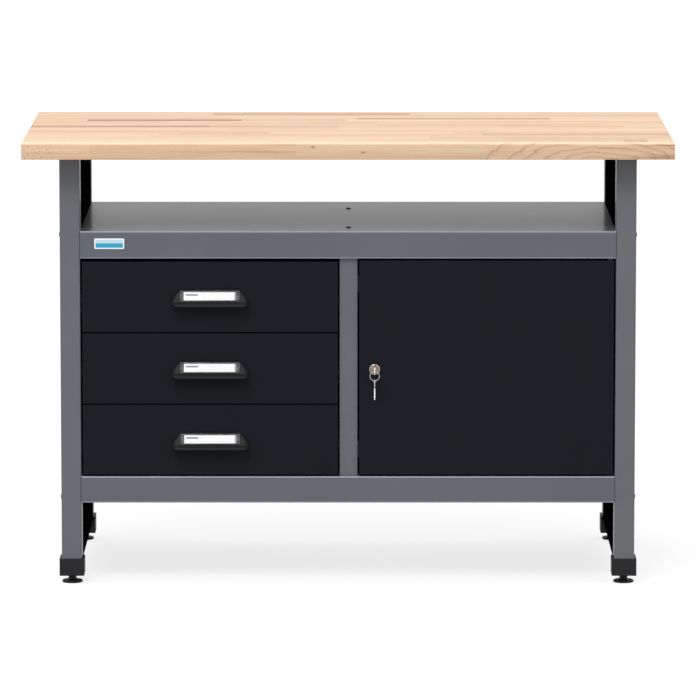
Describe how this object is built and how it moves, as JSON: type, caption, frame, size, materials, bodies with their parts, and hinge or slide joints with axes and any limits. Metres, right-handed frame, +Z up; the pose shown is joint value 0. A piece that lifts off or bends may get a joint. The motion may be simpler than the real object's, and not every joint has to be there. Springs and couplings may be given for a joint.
{
  "type": "workbench with drawers",
  "caption": "Steel-framed workbench with a solid wood top, an open tool tray, stacked drawers with label grips, a lockable door and levelling feet.",
  "frame": {"origin": "on the floor, under the middle of the worktop", "axes": "+Z up, the front with drawers and door faces -Y, +X to the right seen from the front"},
  "size_m": [1.2, 0.6, 0.83],
  "materials": {
    "beech": "oiled, edge-glued staves",
    "grey_steel": "satin powder coat",
    "black_steel": "satin powder coat",
    "badge_plate": "gloss, plain printed bands",
    "strip_steel": "dark dip coat",
    "painted_bolts": "satin",
    "zinc_fasteners": "bright zinc",
    "soft_rubber": "matt",
    "foot_plastic": "fine moulded grain",
    "charcoal_fronts": "satin powder coat",
    "drawer_shell": "satin powder coat",
    "grip_plastic": "fine moulded grain",
    "label_paper": "matt",
    "clear_cover": "clear",
    "bush_plastic": "fine moulded grain",
    "blacked_screws": "blacked, bright domes",
    "lock_chrome": "bright",
    "lock_brass": "worn bright",
    "key_nickel": "nickel, lightly worn"
  },
  "bodies": {
    "frame": {"worktop": "beech", "leg_front_left": "grey_steel", "leg_front_right": "grey_steel", "leg_rear_left": "grey_steel", "leg_rear_right": "grey_steel", "side_panel_left": "black_steel", "side_panel_right": "black_steel", "tray": "grey_steel", "cabinet_floor": "grey_steel", "divider": "grey_steel", "back_panel": "black_steel", "badge": "badge_plate", "drawer_rails": "strip_steel", "hinge_pins": "strip_steel", "door_buffers": "soft_rubber", "side_bolts": "painted_bolts", "side_nuts": "zinc_fasteners", "divider_screws": "blacked_screws", "worktop_screws": "zinc_fasteners", "blind_rivets": "zinc_fasteners", "foot_cap_front_left": "foot_plastic", "foot_cap_front_right": "foot_plastic", "foot_cap_rear_left": "foot_plastic", "foot_cap_rear_right": "foot_plastic"},
    "levelling_foot_front_left": {"levelling_foot_front_left": "foot_plastic"},
    "levelling_foot_front_right": {"levelling_foot_front_right": "foot_plastic"},
    "levelling_foot_rear_left": {"levelling_foot_rear_left": "foot_plastic"},
    "levelling_foot_rear_right": {"levelling_foot_rear_right": "foot_plastic"},
    "drawer_1": {"drawer_1_front": "charcoal_fronts", "drawer_1_box": "drawer_shell", "drawer_1_slides": "strip_steel", "drawer_1_screws": "zinc_fasteners", "drawer_1_handle": "grip_plastic", "drawer_1_label": "label_paper", "drawer_1_window": "clear_cover"},
    "drawer_2": {"drawer_2_front": "charcoal_fronts", "drawer_2_box": "drawer_shell", "drawer_2_slides": "strip_steel", "drawer_2_screws": "zinc_fasteners", "drawer_2_handle": "grip_plastic", "drawer_2_label": "label_paper", "drawer_2_window": "clear_cover"},
    "drawer_3": {"drawer_3_front": "charcoal_fronts", "drawer_3_box": "drawer_shell", "drawer_3_slides": "strip_steel", "drawer_3_screws": "zinc_fasteners", "drawer_3_handle": "grip_plastic", "drawer_3_label": "label_paper", "drawer_3_window": "clear_cover"},
    "door": {"door_panel": "charcoal_fronts", "door_liner": "charcoal_fronts", "hinge_bushes": "bush_plastic", "lock_body": "lock_chrome", "lock_nut": "lock_chrome"},
    "lock_plug": {"lock_plug": "lock_brass", "lock_cam": "lock_chrome", "cam_screw": "zinc_fasteners", "key": "key_nickel"},
    "key_ring": {"key_ring": "key_nickel"},
    "spare_key": {"spare_key": "key_nickel"}
  },
  "joints": [
    {"name": "foot_front_left_adjust", "type": "slide", "parent": "frame", "child": "levelling_foot_front_left", "axis": [0, 0, -1], "range_m": [0, 0.015]},
    {"name": "foot_front_right_adjust", "type": "slide", "parent": "frame", "child": "levelling_foot_front_right", "axis": [0, 0, -1], "range_m": [0, 0.015]},
    {"name": "foot_rear_left_adjust", "type": "slide", "parent": "frame", "child": "levelling_foot_rear_left", "axis": [0, 0, -1], "range_m": [0, 0.015]},
    {"name": "foot_rear_right_adjust", "type": "slide", "parent": "frame", "child": "levelling_foot_rear_right", "axis": [0, 0, -1], "range_m": [0, 0.015]},
    {"name": "drawer_1_slide", "type": "slide", "parent": "frame", "child": "drawer_1", "axis": [0, -1, 0], "range_m": [0, 0.35]},
    {"name": "drawer_2_slide", "type": "slide", "parent": "frame", "child": "drawer_2", "axis": [0, -1, 0], "range_m": [0, 0.35]},
    {"name": "drawer_3_slide", "type": "slide", "parent": "frame", "child": "drawer_3", "axis": [0, -1, 0], "range_m": [0, 0.35]},
    {"name": "door_swing", "type": "hinge", "parent": "frame", "child": "door", "pos_m": [0.4855, -0.235, 0.405], "axis": [0, 0, 1], "range_deg": [0, 100]},
    {"name": "lock_turn", "type": "hinge", "parent": "door", "child": "lock_plug", "pos_m": [0.0493, -0.242, 0.40345], "axis": [0, 1, 0], "range_deg": [0, 90]},
    {"name": "key_ring_swing", "type": "hinge", "parent": "lock_plug", "child": "key_ring", "pos_m": [0.0493, -0.2602, 0.40206], "axis": [-1, 0, 0], "range_deg": [0, 75]},
    {"name": "spare_key_swing", "type": "hinge", "parent": "key_ring", "child": "spare_key", "pos_m": [0.0493, -0.2602, 0.38456], "axis": [-1, 0, 0], "range_deg": [-20, 75]}
  ]
}
